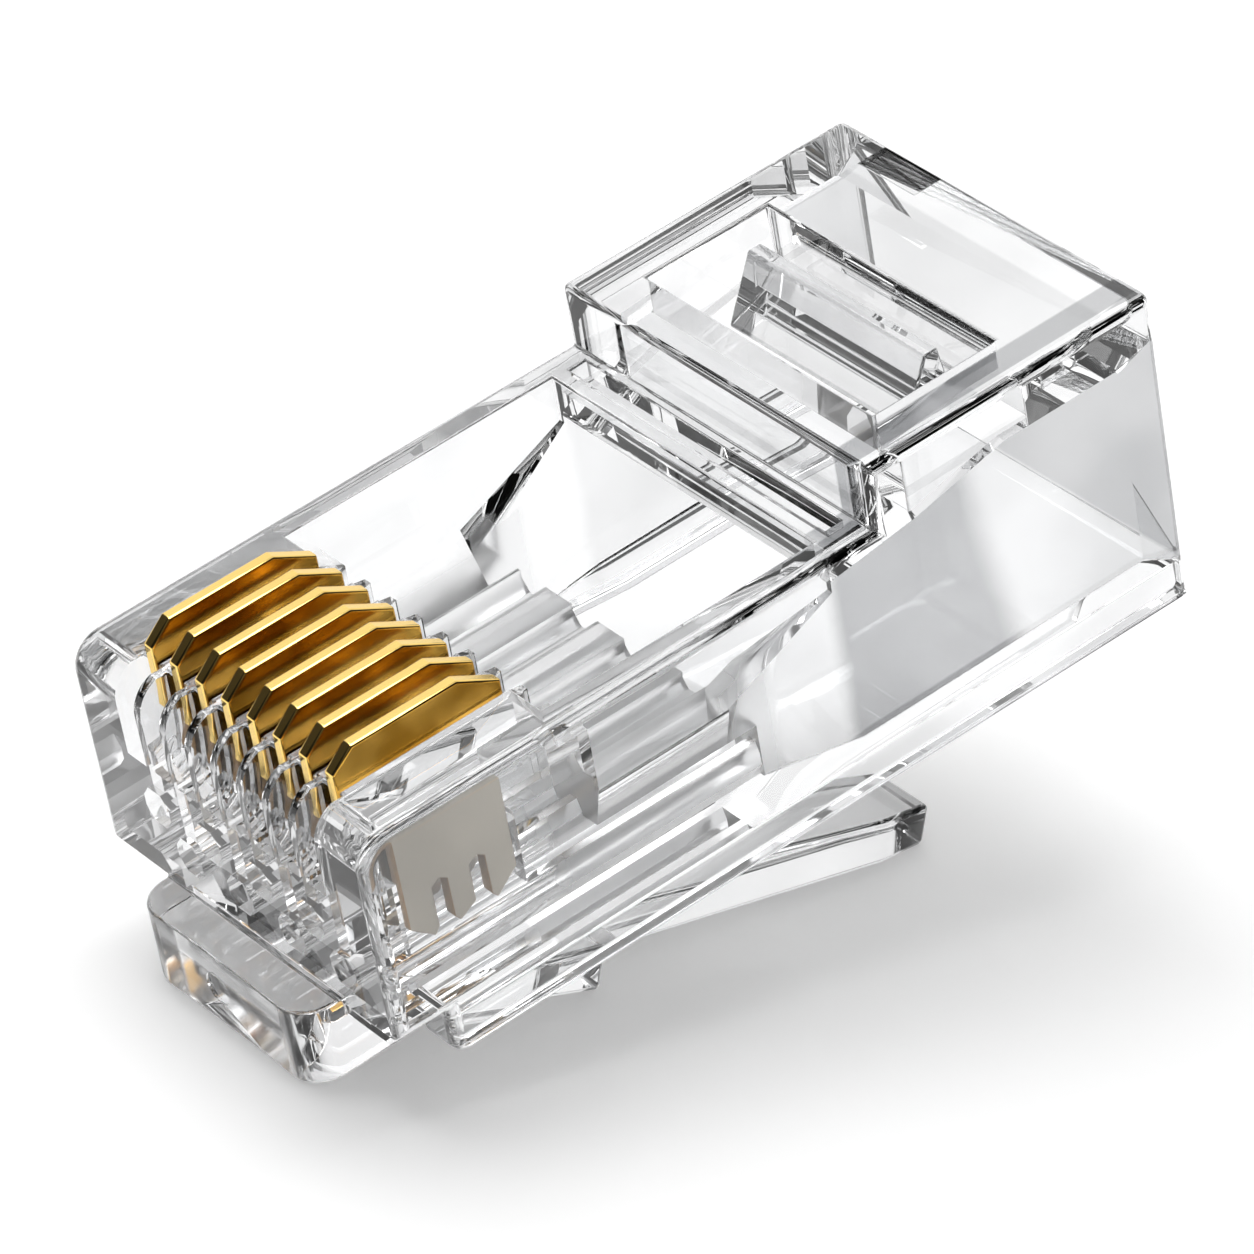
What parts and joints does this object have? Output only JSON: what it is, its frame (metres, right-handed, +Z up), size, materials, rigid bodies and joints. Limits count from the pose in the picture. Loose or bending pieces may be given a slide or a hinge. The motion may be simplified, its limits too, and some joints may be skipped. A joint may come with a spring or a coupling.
{
  "type": "rj45 modular plug",
  "caption": "Clear modular plug, not yet crimped, with sliding gold-plated contacts, a sprung latch underneath and a fold-down cable anchor.",
  "frame": {"origin": "on the surface it rests on, under the middle of the whole plug", "axes": "+X towards the cable end, +Y across, +Z up; the plug lies as it rests, on its root block and latch tail, so its own length axis climbs towards the cable end"},
  "size_m": [0.0252, 0.0116, 0.0169],
  "materials": {
    "clear_plastic": "clear polycarbonate, polished mould",
    "gold_contact": "phosphor bronze, gold plated on the blade and nickel plated on the shank"
  },
  "bodies": {
    "housing": {"housing": "clear_plastic"},
    "latch": {"latch": "clear_plastic"},
    "cable_anchor": {"cable_anchor": "clear_plastic"},
    "contact_1": {"contact_1": "gold_contact"},
    "contact_2": {"contact_2": "gold_contact"},
    "contact_3": {"contact_3": "gold_contact"},
    "contact_4": {"contact_4": "gold_contact"},
    "contact_5": {"contact_5": "gold_contact"},
    "contact_6": {"contact_6": "gold_contact"},
    "contact_7": {"contact_7": "gold_contact"},
    "contact_8": {"contact_8": "gold_contact"}
  },
  "joints": [
    {"name": "latch_hinge", "type": "hinge", "parent": "housing", "child": "latch", "pos_m": [-0.00807, 0, 0.00147], "axis": [0, -1, 0], "range_deg": [0, 17], "stiffness_Nm_per_rad": 0.08},
    {"name": "anchor_fold", "type": "hinge", "parent": "housing", "child": "cable_anchor", "pos_m": [0.0067, 0, 0.01409], "axis": [0, -1, 0], "range_deg": [0, 35]},
    {"name": "contact_1_crimp", "type": "slide", "parent": "housing", "child": "contact_1", "axis": [0.2894, 0, -0.9572], "range_m": [0, 0.001]},
    {"name": "contact_2_crimp", "type": "slide", "parent": "housing", "child": "contact_2", "axis": [0.2894, 0, -0.9572], "range_m": [0, 0.001]},
    {"name": "contact_3_crimp", "type": "slide", "parent": "housing", "child": "contact_3", "axis": [0.2894, 0, -0.9572], "range_m": [0, 0.001]},
    {"name": "contact_4_crimp", "type": "slide", "parent": "housing", "child": "contact_4", "axis": [0.2894, 0, -0.9572], "range_m": [0, 0.001]},
    {"name": "contact_5_crimp", "type": "slide", "parent": "housing", "child": "contact_5", "axis": [0.2894, 0, -0.9572], "range_m": [0, 0.001]},
    {"name": "contact_6_crimp", "type": "slide", "parent": "housing", "child": "contact_6", "axis": [0.2894, 0, -0.9572], "range_m": [0, 0.001]},
    {"name": "contact_7_crimp", "type": "slide", "parent": "housing", "child": "contact_7", "axis": [0.2894, 0, -0.9572], "range_m": [0, 0.001]},
    {"name": "contact_8_crimp", "type": "slide", "parent": "housing", "child": "contact_8", "axis": [0.2894, 0, -0.9572], "range_m": [0, 0.001]}
  ]
}
